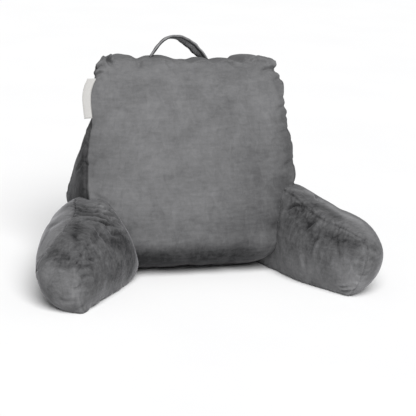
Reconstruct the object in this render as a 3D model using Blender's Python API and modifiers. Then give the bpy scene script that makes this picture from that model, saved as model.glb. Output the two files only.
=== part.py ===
"""Reading pillow with arms: a reclined filled backrest, two filled arms that curve
forward from its sides, a carry handle on top and a folded side label.

Metres, +Z up. The pillow faces -Y and rests on z = 0. Each filled form is a cage of
points (u, v, w) in a cube from -1 to 1, moved onto its rows and then subdivided; the
cube's edges are the pillow's seams.
"""
import bmesh
import bpy
import numpy as np
from mathutils import Vector

TOUCH_GAP = 0.0003          # left between pieces that meet
FLOOR_CUT = 1.0             # half width of the block that flattens the undersides

# Backrest, one row a level: at is the share of the way up, from the underside to the top.
BACK_ROWS = [
    dict(at=0.00, z=-0.012, front_half=0.150, back_half=0.190, front_y=0.0965, back_y=0.205),
    dict(at=0.08, z=0.030, front_half=0.168, back_half=0.216, front_y=0.0225, back_y=0.240),
    dict(at=0.25, z=0.108, front_half=0.196, back_half=0.228, front_y=0.018, back_y=0.255),
    dict(at=0.45, z=0.195, front_half=0.224, back_half=0.210, front_y=0.054, back_y=0.257),
    dict(at=0.72, z=0.318, front_half=0.218, back_half=0.172, front_y=0.100, back_y=0.249),
    dict(at=1.00, z=0.442, front_half=0.206, back_half=0.153, front_y=0.146, back_y=0.231),
]
BACK_CELLS = (14, 5, 15)    # cage cells across, front to back, and up
BACK_CREASE = 0.25
FRONT_CROWN = 0.030
REAR_CROWN = 0.022
SIDE_CROWN = 0.007
TOP_CROWN = 0.007
REAR_TOP_DROP = 0.016       # the rear top seam lies below the front one
CORNER_DROP = 0.008
CORNER_INSET = 0.012        # share of the half width lost at the top corners
RIGHT_TRIM = 0.005          # by which the right side is narrower at the top
LEFT_HOLLOW = 0.011         # the left side is less full towards the rear
EDGE_FLATNESS = 2.6         # power of the crowns: higher is flatter in the middle

# Gathered puffs of the backrest's edges: where each bulge sits, its reach and its swell.
SIDE_PUFFS = [
    dict(side=1, level=0.97, reach=0.045, swell=0.005),
    dict(side=1, level=0.80, reach=0.055, swell=0.003),
    dict(side=1, level=0.66, reach=0.050, swell=0.004),
    dict(side=1, level=0.52, reach=0.050, swell=0.002),
    dict(side=-1, level=0.97, reach=0.050, swell=0.003),
    dict(side=-1, level=0.84, reach=0.045, swell=0.002),
    dict(side=-1, level=0.56, reach=0.060, swell=0.004),
]
TOP_PUFFS = [
    dict(across=-0.86, reach=0.16, swell=0.010),
    dict(across=-0.48, reach=0.14, swell=0.004),
    dict(across=0.22, reach=0.16, swell=0.003),
    dict(across=0.62, reach=0.13, swell=0.006),
    dict(across=0.93, reach=0.10, swell=0.005),
]

# How far the front of the top edge lies above or below its level, by place across.
TOP_LINE = [
    dict(at=-1.00, lift=-0.010),
    dict(at=-0.72, lift=-0.003),
    dict(at=-0.40, lift=-0.006),
    dict(at=0.00, lift=-0.013),
    dict(at=0.42, lift=-0.009),
    dict(at=0.72, lift=0.003),
    dict(at=1.00, lift=0.003),
]

# Arms, one row a section from inside the backrest to the tip, as drawn for the right arm.
# in_ and out_ are the seams beside the seat and on the far side; lean moves the seat side
# in at the floor and toe moves both sides in there, which the left arm does more.
RIGHT_ARM_ROWS = [
    dict(at=0.00, in_x=0.160, in_y=0.100, out_x=0.170, out_y=0.222, in_top=0.164, out_top=0.110, lean=0.004, toe=0.0),
    dict(at=0.25, in_x=0.200, in_y=0.018, out_x=0.258, out_y=0.168, in_top=0.177, out_top=0.132, lean=0.017, toe=0.0),
    dict(at=0.50, in_x=0.229, in_y=-0.057, out_x=0.306, out_y=0.060, in_top=0.155, out_top=0.130, lean=0.017, toe=0.0),
    dict(at=0.75, in_x=0.263, in_y=-0.127, out_x=0.335, out_y=-0.028, in_top=0.146, out_top=0.130, lean=0.008, toe=0.0),
    dict(at=1.00, in_x=0.311, in_y=-0.210, out_x=0.373, out_y=-0.129, in_top=0.147, out_top=0.145, lean=0.002, toe=0.0),
]
LEFT_ARM_ROWS = [
    dict(at=0.00, in_x=0.160, in_y=0.100, out_x=0.170, out_y=0.222, in_top=0.160, out_top=0.104, lean=0.036, toe=0.0),
    dict(at=0.25, in_x=0.200, in_y=0.018, out_x=0.253, out_y=0.168, in_top=0.168, out_top=0.106, lean=0.070, toe=0.0),
    dict(at=0.50, in_x=0.229, in_y=-0.057, out_x=0.297, out_y=0.060, in_top=0.153, out_top=0.113, lean=0.054, toe=0.0),
    dict(at=0.75, in_x=0.263, in_y=-0.127, out_x=0.325, out_y=-0.028, in_top=0.145, out_top=0.117, lean=0.024, toe=0.008),
    dict(at=1.00, in_x=0.311, in_y=-0.210, out_x=0.366, out_y=-0.129, in_top=0.143, out_top=0.125, lean=0.000, toe=0.024),
]
ARM_ROWS = {1: RIGHT_ARM_ROWS, -1: LEFT_ARM_ROWS}
TIP_BACK = {1: 0.15, -1: 0.07}      # share of the length by which the tip's foot is drawn back
TIP_FALL = {1: 0.40, -1: 0.50}      # how much of its height the arm loses to the tip's end
ARM_CELLS = (5, 10, 6)      # cage cells across, root to tip, and up
ARM_CREASE = 0.25
ARM_ROUND = 0.29            # share of the length that the round end takes
INNER_CROWN = 0.020
OUTER_CROWN = 0.018
ARM_TOP_CROWN = 0.018
END_CROWN = 0.022
OUTER_TUCK = 0.024          # the far side drawn in at the floor
INNER_TUCK = 0.011          # and the seat side, just above the floor
OUTER_LIFT = 0.016          # and raised at the tip
ARM_SINK = 0.012            # how far the underside would sink before it is flattened

# Folds that run out of each arm's root seam: round is the place round the section, in
# degrees from the far side, 90 on top and 180 at the seat.
ARM_FOLDS = [
    dict(side=1, round=150, width=16, depth=0.006, reach=0.17),
    dict(side=1, round=112, width=14, depth=0.007, reach=0.22),
    dict(side=1, round=70, width=14, depth=0.005, reach=0.15),
    dict(side=-1, round=158, width=14, depth=0.005, reach=0.15),
    dict(side=-1, round=128, width=13, depth=0.007, reach=0.20),
    dict(side=-1, round=95, width=14, depth=0.006, reach=0.22),
    dict(side=-1, round=60, width=15, depth=0.005, reach=0.14),
]
ARM_ROOT_AT = 0.25          # where the arm leaves the backrest's side

# Carry handle: a stitched strap in an arch, its two ends on the top of the backrest. tilt
# turns its width about the arch's line, up at the rear when it is above 0.
HANDLE_ROWS = [
    dict(at=0.00, x=-0.0735, y=0.186, z=0.4300, tilt=-20.0),
    dict(at=0.19, x=-0.0565, y=0.185, z=0.4575, tilt=-20.0),
    dict(at=0.30, x=-0.0440, y=0.184, z=0.4710, tilt=-18.0),
    dict(at=0.40, x=-0.0290, y=0.184, z=0.4780, tilt=-18.0),
    dict(at=0.50, x=-0.0120, y=0.184, z=0.4770, tilt=-24.0),
    dict(at=0.62, x=0.0050, y=0.184, z=0.4690, tilt=-36.0),
    dict(at=0.78, x=0.0265, y=0.184, z=0.4520, tilt=-42.0),
    dict(at=0.92, x=0.0445, y=0.185, z=0.4345, tilt=-32.0),
    dict(at=1.00, x=0.0530, y=0.186, z=0.4240, tilt=-26.0),
]
HANDLE_WIDTH = 0.027
HANDLE_THICK = 0.005
HANDLE_CELLS = 16

# Side label: a folded tape in the left front seam.
LABEL_LOW = 0.328
LABEL_HIGH = 0.406
LABEL_REACH = 0.015
LABEL_ROOT = 0.006          # part of the tape inside the seam, taken off by the backrest
LABEL_THICK = 0.0018
LABEL_BOW = 0.003
LABEL_CELLS = 6

FINISHES = {
    "velour_panel": dict(color=(0.110, 0.110, 0.112), roughness=0.92),
    "velour_arm": dict(color=(0.085, 0.085, 0.087), roughness=0.92),
    "velour_strap": dict(color=(0.075, 0.075, 0.077), roughness=0.88),
    "woven_tape": dict(color=(0.620, 0.610, 0.590), roughness=0.80),
}


def clear_scene():
    for obj in list(bpy.data.objects):
        bpy.data.objects.remove(obj, do_unlink=True)


def new_collection(name):
    group = bpy.data.collections.new(name)
    bpy.context.scene.collection.children.link(group)
    return group


def make_material(name):
    finish = FINISHES[name]
    material = bpy.data.materials.new(name)
    material.use_nodes = True
    shader = material.node_tree.nodes["Principled BSDF"]
    shader.inputs["Base Color"].default_value = (*finish["color"], 1.0)
    shader.inputs["Roughness"].default_value = finish["roughness"]
    shader.inputs["Metallic"].default_value = 0.0
    return material


def read_rows(rows, column, at):
    """The column's value at a share of the way along, on a smooth curve through the rows."""
    marks = np.array([row["at"] for row in rows])
    values = np.array([row[column] for row in rows])
    slopes = np.gradient(values, marks)
    at = min(max(at, marks[0]), marks[-1])
    low = int(np.clip(np.searchsorted(marks, at, side="right") - 1, 0, len(marks) - 2))
    span = marks[low + 1] - marks[low]
    t = (at - marks[low]) / span
    start = (1 + 2 * t) * (1 - t) ** 2 * values[low] + t * (1 - t) ** 2 * span * slopes[low]
    end = t * t * (3 - 2 * t) * values[low + 1] - t * t * (1 - t) * span * slopes[low + 1]
    return float(start + end)


def mix(start, end, share):
    return start * (1 - share) + end * share


def hump(distance, reach):
    """A smooth bump of height 1 that ends at reach."""
    share = min(abs(distance) / reach, 1.0)
    return (1 - share * share) ** 2


def crown(place):
    return 1 - abs(place) ** EDGE_FLATNESS


def backrest_point(u, v, w):
    """u runs across, v from front to back and w up."""
    level, depth, rise = (w + 1) / 2, (v + 1) / 2, max(w, 0.0)
    row = {key: read_rows(BACK_ROWS, key, level) for key in BACK_ROWS[0]}
    half = mix(row["front_half"], row["back_half"], depth)
    x = u * half * (1 - CORNER_INSET * rise ** 12)
    x += u * SIDE_CROWN * (1 - v * v) * crown(w)
    x -= RIGHT_TRIM * max(u, 0.0) ** 2 * rise ** 0.5
    y = mix(row["front_y"], row["back_y"], depth)
    fill = crown(u) * crown(w)
    y += REAR_CROWN * fill * depth - FRONT_CROWN * fill * (1 - depth)
    z = row["z"] + TOP_CROWN * (1 - v * v) * crown(u) * rise
    z -= CORNER_DROP * abs(u) ** 10 * rise ** 4 + REAR_TOP_DROP * depth * rise ** 4
    for puff in SIDE_PUFFS:
        beside = max(u * puff["side"], 0.0) ** 6
        x += puff["side"] * puff["swell"] * beside * hump(level - puff["level"], puff["reach"] * 1.6)
    for puff in TOP_PUFFS:
        z += puff["swell"] * rise ** 8 * hump(u - puff["across"], puff["reach"])
    z += rise ** 8 * read_rows(TOP_LINE, "lift", u)
    x += max(-u, 0.0) ** 4 * LEFT_HOLLOW * depth * hump(level - 0.58, 0.22)
    return Vector((x, y, z))


def fold_depth(side, u, w, along):
    """How far the arm's folds draw its surface in at this place."""
    turn = np.degrees(np.arctan2(w, u)) % 360
    depth = 0.0
    for fold in ARM_FOLDS:
        if fold["side"] == side:
            fade = hump(max(along - ARM_ROOT_AT, 0.0), fold["reach"] * 2.2)
            depth += fold["depth"] * fade * hump(turn - fold["round"], fold["width"])
    return depth


def arm_point(side, u, v, w):
    """u runs from the seat side to the far side, v from root to tip and w up."""
    length, level, out = (v + 1) / 2, (w + 1) / 2, (u + 1) / 2
    start = 1 - ARM_ROUND
    bend = min(max((length - start) / ARM_ROUND, 0.0), 1.0)
    along = length if bend == 0 else start + ARM_ROUND * bend * (1 - level ** 2 / 2) ** 0.5
    along -= TIP_BACK[side] * bend * (1 - level) ** 2
    rows = ARM_ROWS[side]
    row = {key: read_rows(rows, key, along) for key in rows[0]}
    top = mix(row["in_top"], row["out_top"], out)
    z = level * top * (1 - TIP_FALL[side] * bend ** 2) ** 0.5 - ARM_SINK * (1 - level) ** 3
    z += ARM_TOP_CROWN * (1 - u * u) * level ** 2
    z += OUTER_LIFT * out ** 3 * (1 - level) ** 3 * length
    seat = Vector((row["in_x"] - row["lean"] * (1 - level ** 2), row["in_y"], 0.0))
    far = Vector((row["out_x"], row["out_y"], 0.0))
    across = (far - seat).normalized()
    forward = Vector((across.y, -across.x, 0.0))
    tall = 1 - abs(w) ** 2.4
    held = 1 - max(v, 0.0) ** 3
    place = out * (far - seat).length
    place += tall * held * (OUTER_CROWN * out - INNER_CROWN * (1 - out))
    place -= OUTER_TUCK * out * (1 - level) ** 3
    place += INNER_TUCK * (1 - out) * (1 - level) ** 6
    reach = END_CROWN * (1 - u * u) * bend ** 2 * (1 - abs(w) ** 3)
    toe = row["toe"] * (1 - level) ** 2
    point = seat + across * place + forward * reach + Vector((-toe, 0.0, z))
    draw = fold_depth(side, u, w, along)
    centre = (seat + far) / 2 + Vector((0.0, 0.0, top / 2))
    point += (centre - point).normalized() * draw
    return Vector((point.x * side, point.y, point.z))


def add_object(name, mesh, group, material=None):
    obj = bpy.data.objects.new(name, mesh)
    group.objects.link(obj)
    if material:
        mesh.materials.append(material)
    return obj


def cage_mesh(name, cells, crease, place):
    """A cube cut into cells along its three axes, with each point moved by place(u, v, w)."""
    form = bmesh.new()
    bmesh.ops.create_cube(form, size=2.0)
    for axis, count in enumerate(cells):
        normal = Vector([float(axis == k) for k in range(3)])
        for step in range(1, count):
            geometry = form.verts[:] + form.edges[:] + form.faces[:]
            bmesh.ops.bisect_plane(form, geom=geometry, dist=1e-6,
                                   plane_co=normal * (2 * step / count - 1), plane_no=normal)
    creases = form.edges.layers.float.new("crease_edge")
    for edge in form.edges:
        middle = (edge.verts[0].co + edge.verts[1].co) / 2
        if sum(abs(value) > 0.999 for value in middle) == 2:
            edge[creases] = crease
    for vert in form.verts:
        vert.co = place(*vert.co)
    bmesh.ops.recalc_face_normals(form, faces=form.faces)
    mesh = bpy.data.meshes.new(name)
    form.to_mesh(mesh)
    form.free()
    return mesh


def ribbon_mesh(name, cells, place):
    """A strip of cells[0] by cells[1] faces, with each point moved by place(s, t) in 0 to 1."""
    form = bmesh.new()
    bmesh.ops.create_grid(form, x_segments=cells[0], y_segments=cells[1], size=0.5)
    for vert in form.verts:
        vert.co = place(vert.co.x + 0.5, vert.co.y + 0.5)
    mesh = bpy.data.meshes.new(name)
    form.to_mesh(mesh)
    form.free()
    return mesh


def add_subdivision(obj, levels):
    soften = obj.modifiers.new("soften", "SUBSURF")
    soften.levels = levels
    soften.render_levels = levels


def add_facets(obj):
    """Split the faces into triangles the same way on each copy of a form."""
    facets = obj.modifiers.new("facets", "TRIANGULATE")
    facets.quad_method = "FIXED"


def add_thickness(obj, thickness):
    wall = obj.modifiers.new("wall", "SOLIDIFY")
    wall.thickness = thickness
    wall.offset = 0.0


def add_cut(obj, cutter):
    cut = obj.modifiers.new("cut_" + cutter.name, "BOOLEAN")
    cut.operation = "DIFFERENCE"
    cut.solver = "EXACT"
    cut.object = cutter


def hide_cutter(obj):
    obj.hide_render = True
    obj.display_type = "WIRE"


def make_floor_cutter(group):
    bpy.ops.mesh.primitive_cube_add(size=2 * FLOOR_CUT, location=(0.0, 0.0, -FLOOR_CUT))
    block = bpy.context.active_object
    block.name = "floor_cutter"
    for owner in list(block.users_collection):
        owner.objects.unlink(block)
    group.objects.link(block)
    hide_cutter(block)
    return block


def make_backrest(group, floor, material):
    mesh = cage_mesh("backrest", BACK_CELLS, BACK_CREASE, backrest_point)
    mesh.shade_smooth()
    backrest = add_object("backrest", mesh, group, material)
    add_subdivision(backrest, 1)
    add_facets(backrest)
    add_cut(backrest, floor)
    return backrest


def make_backrest_cutter(backrest, group):
    """The backrest's form, grown by the gap that the pieces sewn to it keep."""
    cutter = add_object("backrest_cutter", backrest.data.copy(), group)
    add_subdivision(cutter, 1)
    add_facets(cutter)
    grow = cutter.modifiers.new("grow", "DISPLACE")
    grow.strength = TOUCH_GAP
    grow.mid_level = 0.0
    hide_cutter(cutter)
    return cutter


def make_arm(name, side, group, cutters, material):
    mesh = cage_mesh(name, ARM_CELLS, ARM_CREASE, lambda u, v, w: arm_point(side, u, v, w))
    mesh.shade_smooth()
    arm = add_object(name, mesh, group, material)
    add_subdivision(arm, 1)
    for cutter in cutters:
        add_cut(arm, cutter)
    return arm


def arch_point(s):
    return Vector([read_rows(HANDLE_ROWS, axis, s) for axis in "xyz"])


def handle_point(s, t):
    """s runs along the arch and t across the strap."""
    along = (arch_point(min(s + 0.01, 1.0)) - arch_point(max(s - 0.01, 0.0))).normalized()
    rear = Vector((0.0, 1.0, 0.0))
    tilt = np.radians(read_rows(HANDLE_ROWS, "tilt", s))
    width = rear * np.cos(tilt) + along.cross(rear) * np.sin(tilt)
    return arch_point(s) + width * (HANDLE_WIDTH * (t - 0.5))


def make_handle(group, cutter, material):
    mesh = ribbon_mesh("carry_handle", (HANDLE_CELLS, 3), handle_point)
    mesh.shade_smooth()
    handle = add_object("carry_handle", mesh, group, material)
    add_thickness(handle, HANDLE_THICK)
    add_subdivision(handle, 1)
    add_cut(handle, cutter)
    return handle


def front_seam(z):
    """The left front seam's point at this height."""
    heights = [row["z"] for row in BACK_ROWS]
    level = float(np.interp(z, heights, [row["at"] for row in BACK_ROWS]))
    return backrest_point(-1.0, -1.0, 2 * level - 1)


def label_point(s, t):
    """s runs up the tape and t out of the seam."""
    seam = front_seam(mix(LABEL_LOW, LABEL_HIGH, s))
    out = mix(-LABEL_ROOT, LABEL_REACH, t)
    bow = LABEL_BOW * t * (1 - (2 * s - 1) ** 2)
    return Vector((seam.x - out, seam.y - bow, seam.z))


def make_label(group, cutter, material):
    mesh = ribbon_mesh("side_label", (LABEL_CELLS, 2), label_point)
    label = add_object("side_label", mesh, group, material)
    add_thickness(label, LABEL_THICK)
    add_cut(label, cutter)
    return label


def centre_on_origin(parts, cutters):
    """Move everything so that the origin lies under the middle of the pillow's box."""
    bpy.context.view_layer.update()
    graph = bpy.context.evaluated_depsgraph_get()
    points = []
    for obj in parts:
        shape = obj.evaluated_get(graph)
        points.extend(shape.matrix_world @ vert.co for vert in shape.to_mesh().vertices)
        shape.to_mesh_clear()
    places = np.array(points)
    middle = (places.min(axis=0) + places.max(axis=0)) / 2
    for obj in parts + cutters:
        obj.location.x -= middle[0]
        obj.location.y -= middle[1]


def main():
    clear_scene()
    pillow = new_collection("reading_pillow")
    tools = new_collection("cutters")
    finish = {name: make_material(name) for name in FINISHES}
    floor = make_floor_cutter(tools)
    backrest = make_backrest(pillow, floor, finish["velour_panel"])
    grown = make_backrest_cutter(backrest, tools)
    right = make_arm("arm_right", 1, pillow, (grown, floor), finish["velour_arm"])
    left = make_arm("arm_left", -1, pillow, (grown, floor), finish["velour_arm"])
    handle = make_handle(pillow, grown, finish["velour_strap"])
    label = make_label(pillow, grown, finish["woven_tape"])
    centre_on_origin([backrest, right, left, handle, label], [floor, grown])


main()
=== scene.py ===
# Looks of the reading pillow with arms: velour, gathers, folds, strap, label and light.
# Metres, +Z up, the pillow faces -Y. Each soft form is a cube of (u, v, w) from -1 to 1, drawn out by
# its tables: u runs across, v from front to rear or from an arm's root to its tip, w from floor to top.
import math

import bmesh
import bpy
import numpy as np
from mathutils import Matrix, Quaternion, Vector
from mathutils.bvhtree import BVHTree
from mathutils.kdtree import KDTree


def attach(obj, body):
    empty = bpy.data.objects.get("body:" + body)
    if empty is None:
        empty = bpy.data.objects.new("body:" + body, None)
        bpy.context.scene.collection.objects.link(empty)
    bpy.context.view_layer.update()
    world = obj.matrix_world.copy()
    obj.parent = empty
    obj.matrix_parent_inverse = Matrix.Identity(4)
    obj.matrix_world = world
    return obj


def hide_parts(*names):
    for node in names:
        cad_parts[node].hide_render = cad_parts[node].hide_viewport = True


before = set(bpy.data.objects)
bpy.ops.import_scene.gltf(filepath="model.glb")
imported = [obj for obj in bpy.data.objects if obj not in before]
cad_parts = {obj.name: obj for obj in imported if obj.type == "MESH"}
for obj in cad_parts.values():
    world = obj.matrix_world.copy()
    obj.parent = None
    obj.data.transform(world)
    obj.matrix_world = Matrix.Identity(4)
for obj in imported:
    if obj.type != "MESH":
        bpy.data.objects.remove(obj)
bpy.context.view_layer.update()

touchGap = 0.0005   # kept between pieces that meet
boxMiddle = np.array([0.0040, 0.0426, 0.0])   # taken off the tables' places, to meet the frame's origin
onFace = 1e-4       # how near to 1 a coordinate is for a point on that face of the cube


def mix(start, end, share):
    return start * (1 - share) + end * share


def hump(distance, reach):
    share = np.minimum(np.abs(distance) / reach, 1.0)
    return (1 - share * share) ** 2


def easeIn(value, start, end):
    share = np.clip((value - start) / (end - start), 0.0, 1.0)
    return share * share * (3 - 2 * share)


def readLine(pairs, at):
    # a smooth curve through pairs of place and value
    marks, values = np.array(list(pairs)).T
    slopes = np.gradient(values, marks)
    at = np.clip(at, marks[0], marks[-1])
    low = np.clip(np.searchsorted(marks, at, side="right") - 1, 0, len(marks) - 2)
    span = marks[low + 1] - marks[low]
    t = (at - marks[low]) / span
    start = (1 + 2 * t) * (1 - t) ** 2 * values[low] + t * (1 - t) ** 2 * span * slopes[low]
    end = t * t * (3 - 2 * t) * values[low + 1] - t * t * (1 - t) * span * slopes[low + 1]
    return start + end


def readTable(table, at):
    # every column of a table, read along its "at"
    return {key: readLine(zip(table["at"], column), at) for key, column in table.items() if key != "at"}


def unit(vectors):
    return vectors / np.maximum(np.linalg.norm(vectors, axis=-1, keepdims=True), 1e-12)


def gradedSteps(cells, grading):
    # even steps that grow finer towards both ends
    t = np.linspace(-1, 1, cells + 1)
    return (1 - grading) * t + grading * np.sin(t * math.pi / 2)


def cubeGrid(cells, grading):
    # the surface points of a cube cut into cells, and its four-sided faces
    steps = [gradedSteps(count, grading) for count in cells]
    shape = tuple(count + 1 for count in cells)
    number = np.full(shape, -1)
    places = np.stack(np.meshgrid(*steps, indexing="ij"), -1)
    skin = np.zeros(shape, bool)
    for axis in range(3):
        for end in (0, -1):
            picked = [slice(None)] * 3
            picked[axis] = end
            skin[tuple(picked)] = True
    number[skin] = np.arange(skin.sum())
    faces = []
    for axis in range(3):
        for end in (0, -1):
            side = np.take(number, end, axis=axis)
            corners = [side[:-1, :-1], side[1:, :-1], side[1:, 1:], side[:-1, 1:]]
            faces.append(np.stack(corners, -1).reshape(-1, 4))
    return places[skin], np.concatenate(faces)


def faceEdges(faces):
    pairs = np.concatenate([faces[:, [k, (k + 1) % 4]] for k in range(4)])
    return np.unique(np.sort(pairs, axis=1), axis=0)


def meshEdges(mesh):
    pairs = np.empty(len(mesh.edges) * 2, dtype=np.int32)
    mesh.edges.foreach_get("vertices", pairs)
    return pairs.reshape(-1, 2)


def relax(points, edges, weight, rounds):
    # moves each point towards the mean of its neighbours, by its weight
    first, second = edges[:, 0], edges[:, 1]
    count = len(points)
    neighbours = np.bincount(first, minlength=count) + np.bincount(second, minlength=count)
    for _ in range(rounds):
        total = np.zeros_like(points)
        for k in range(3):
            total[:, k] = np.bincount(first, points[second, k], count)
            total[:, k] += np.bincount(second, points[first, k], count)
        mean = total / neighbours[:, None]
        points = points + (mean - points) * 0.5 * weight[:, None]
    return points


def soften(points, edges, distances, soft):
    # rounds the form off near a seam: soft is how far from it, and in how many rounds
    reach, rounds = soft
    return relax(points, edges, np.exp(-(distances / reach) ** 2), rounds)


def readVectors(items, name):
    values = np.zeros(len(items) * 3, np.float32)
    items.foreach_get(name, values)
    return values.reshape(-1, 3).astype(float)


def readNormals(mesh):
    return readVectors(mesh.vertex_normals, "vector")


def readPoints(mesh):
    return readVectors(mesh.vertices, "co")


def readPlaces(mesh):
    return readVectors(mesh.attributes["place"].data, "vector")


def writePoints(mesh, points):
    mesh.vertices.foreach_set("co", points.astype(np.float32).ravel())
    mesh.update()


def addObject(name, data):
    made = bpy.data.objects.new(name, data)
    bpy.context.scene.collection.objects.link(made)
    return made


def turnFacesOut(mesh):
    form = bmesh.new()
    form.from_mesh(mesh)
    bmesh.ops.recalc_face_normals(form, faces=form.faces)
    form.to_mesh(mesh)
    form.free()


def softForm(name, points, places, faces):
    mesh = bpy.data.meshes.new(name)
    mesh.from_pydata(points.tolist(), [], faces.tolist())
    held = mesh.attributes.new("place", "FLOAT_VECTOR", "POINT")
    held.data.foreach_set("vector", places.astype(np.float32).ravel())
    turnFacesOut(mesh)
    mesh.shade_smooth()
    return addObject(name, mesh)


def applyModifiers(obj):
    graph = bpy.context.evaluated_depsgraph_get()
    graph.update()
    made = bpy.data.meshes.new_from_object(obj.evaluated_get(graph))
    obj.modifiers.clear()
    old = obj.data
    obj.data = made
    made.name = obj.name
    bpy.data.meshes.remove(old)


def subdivide(obj):
    finer = obj.modifiers.new("finer", "SUBSURF")
    finer.levels = 1
    finer.render_levels = 1
    applyModifiers(obj)
    obj.data.shade_smooth()


def edgeDistances(places, sizes):
    # how far each point is from the nearest cube edge that runs along each axis
    inward = (1 - np.abs(places)) * np.array(sizes) / 2
    return [np.hypot(inward[:, (k + 1) % 3], inward[:, (k + 2) % 3]) for k in range(3)]


def seamFrame(places, sizes, panel, side):
    # along a seam and across it: plus runs into the panel, minus into the boxing strip
    (panelAxis, panelSign), (sideAxis, sideSign) = panel, side
    runAxis = 3 - panelAxis - sideAxis
    onPanel = np.abs(places[:, panelAxis] - panelSign) < onFace
    onSide = np.abs(places[:, sideAxis] - sideSign) < onFace
    into = (1 - sideSign * places[:, sideAxis]) * sizes[sideAxis] / 2
    away = (1 - panelSign * places[:, panelAxis]) * sizes[panelAxis] / 2
    along = (places[:, runAxis] + 1) / 2 * sizes[runAxis]
    return along, np.where(onPanel, into, -away), onPanel | onSide, sizes[runAxis]


def seamWrinkles(along, across, mask, length, dice, look):
    # short uneven valleys that run out of a seam, with soft ridges beside them
    depth = np.zeros(len(along))
    start = dice.uniform(0.2, 1.0) * look["pitch"]
    while start < length:
        reachIn = look["reach"] * dice.uniform(0.35, 1.0) ** 1.5
        reachOut = look["reach"] * dice.uniform(0.25, 0.9) ** 1.5
        width = look["width"] * dice.uniform(0.7, 1.4)
        deep = look["depth"] * dice.uniform(0.25, 1.0)
        tilt = dice.uniform(-look["tilt"], look["tilt"])
        bend = dice.uniform(-look["bend"], look["bend"])
        near = mask & (np.abs(along - start) < 5 * width + look["reach"] * look["tilt"])
        near &= (across < reachIn) & (across > -reachOut)
        far = np.where(across[near] > 0, across[near] / reachIn, -across[near] / reachOut)
        offset = along[near] - start - tilt * across[near] - bend * across[near] ** 2
        spread = width * (0.75 + 0.9 * far)
        fade = (1 - far) ** 1.3 * easeIn(np.abs(across[near]), -0.002, 0.004)
        valley = np.exp(-(offset / spread) ** 2)
        ridge = np.exp(-((np.abs(offset) - 2.0 * spread) / spread) ** 2)
        depth[near] += deep * fade * (0.38 * ridge - valley)
        start += look["pitch"] * dice.uniform(0.45, 1.6)
    return depth


def seamPuffs(along, across, mask, pinches, look):
    # the fabric swells between the places where a seam is drawn in
    pinches = np.array(pinches)
    low = np.clip(np.searchsorted(pinches, along, side="right") - 1, 0, len(pinches) - 2)
    share = np.clip((along - pinches[low]) / (pinches[low + 1] - pinches[low]), 0, 1)
    arch = np.abs(np.sin(math.pi * share)) ** 0.8
    fade = np.exp(-(across / look["spread"]) ** 2)
    return np.where(mask, (arch * look["swell"] - look["draw"] * (1 - arch) ** 3) * fade, 0.0)


def unevenMarks(length, pitch, dice):
    marks = [-0.5 * pitch * dice.uniform(0.2, 1.0)]
    while marks[-1] < length:
        marks.append(marks[-1] + pitch * dice.uniform(0.6, 1.5))
    return marks


def seamRelief(rise, seam, dice, look, faint=1.0, drawn=1.0):
    # adds a seam's swells, its short wrinkles and the groove that its thread draws in
    along, across, mask, length = seam
    rise = rise + seamPuffs(along, across, mask, unevenMarks(length, look["pinchPitch"], dice), look)
    rise = rise + faint * seamWrinkles(along, across, mask, length, dice, look)
    groove = np.exp(-(across / look["grooveWidth"]) ** 2)
    return rise - np.where(mask, drawn * look["groove"] * groove, 0.0)


def pathDistance(points, path, within):
    # each point's distance from a path, and the share of the path where it comes nearest
    best = np.full(len(points), 1e9)
    share = np.zeros(len(points))
    near = np.flatnonzero(((points > path.min(0) - within) & (points < path.max(0) + within)).all(1))
    steps = np.linalg.norm(np.diff(path, axis=0), axis=1)
    walked = np.concatenate([[0.0], np.cumsum(steps)])
    for k in range(len(path) - 1):
        leg = path[k + 1] - path[k]
        t = np.clip((points[near] - path[k]) @ leg / max(leg @ leg, 1e-12), 0, 1)
        gap = np.linalg.norm(points[near] - path[k] - t[:, None] * leg, axis=1)
        closer = gap < best[near]
        best[near[closer]] = gap[closer]
        share[near[closer]] = (walked[k] + t[closer] * steps[k]) / walked[-1]
    return best, share


def fold(width, depth, *through):
    # a fold through listed (u, v, w): it sinks by depth, or rises when that is minus
    return dict(width=width, depth=depth, through=through)


def stroke(width, shade, *through):
    # a stroke of lighter colour or, when shade is minus, darker, through listed (u, v, w): brushed pile
    # in some, painted shade and highlight in others
    return dict(width=width, shade=shade, through=through)


def foldRise(points, path, crease):
    # a soft trough along a path, with a low ridge at each side
    width = crease["width"]
    gap, share = pathDistance(points, path, 5 * width)
    fade = np.sin(math.pi * np.clip(share, 0.03, 0.97)) ** 0.6
    spread = width * (0.75 + 0.5 * (1 - fade))
    valley = np.exp(-(gap / spread) ** 2)
    sides = np.exp(-((gap - 2.1 * spread) / (1.1 * spread)) ** 2)
    return crease["depth"] * fade * (0.40 * sides - valley)


def placeTree(places):
    tree = KDTree(len(places))
    for k, place in enumerate(places):
        tree.insert(place, k)
    tree.balance()
    return tree


def surfacePath(through, tree, points):
    # a smooth path over the surface, from the points nearest to each spot on it
    marks = np.linspace(0, 1, len(through))
    t = np.linspace(0, 1, 6 * len(through))
    spots = np.stack([readLine(zip(marks, column), t) for column in zip(*through)], -1)
    path = []
    for spot in np.clip(spots, -1, 1):
        found = tree.find_n(spot, 5)
        weights = np.array([1 / (gap + 1e-4) ** 2 for _, _, gap in found])
        chosen = points[[index for _, index, _ in found]]
        path.append((chosen * weights[:, None]).sum(0) / weights.sum())
    return np.array(path)


def pileAndShadeStrokes(points, tree, strokes):
    # how much lighter or darker the colour is along listed strokes: brushed pile, painted shade and
    # painted highlight
    shade = np.zeros(len(points))
    for brushed in strokes:
        path = surfacePath(brushed["through"], tree, points)
        gap, _ = pathDistance(points, path, 3 * brushed["width"])
        shade += brushed["shade"] * np.exp(-(gap / brushed["width"]) ** 2)
    return shade


def keepPileAndShade(mesh, shade):
    # per point: lighter or darker pile, and painted shade and painted highlight
    held = mesh.attributes.new("pileAndShade", "FLOAT", "POINT")
    held.data.foreach_set("value", shade.astype(np.float32))


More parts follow.
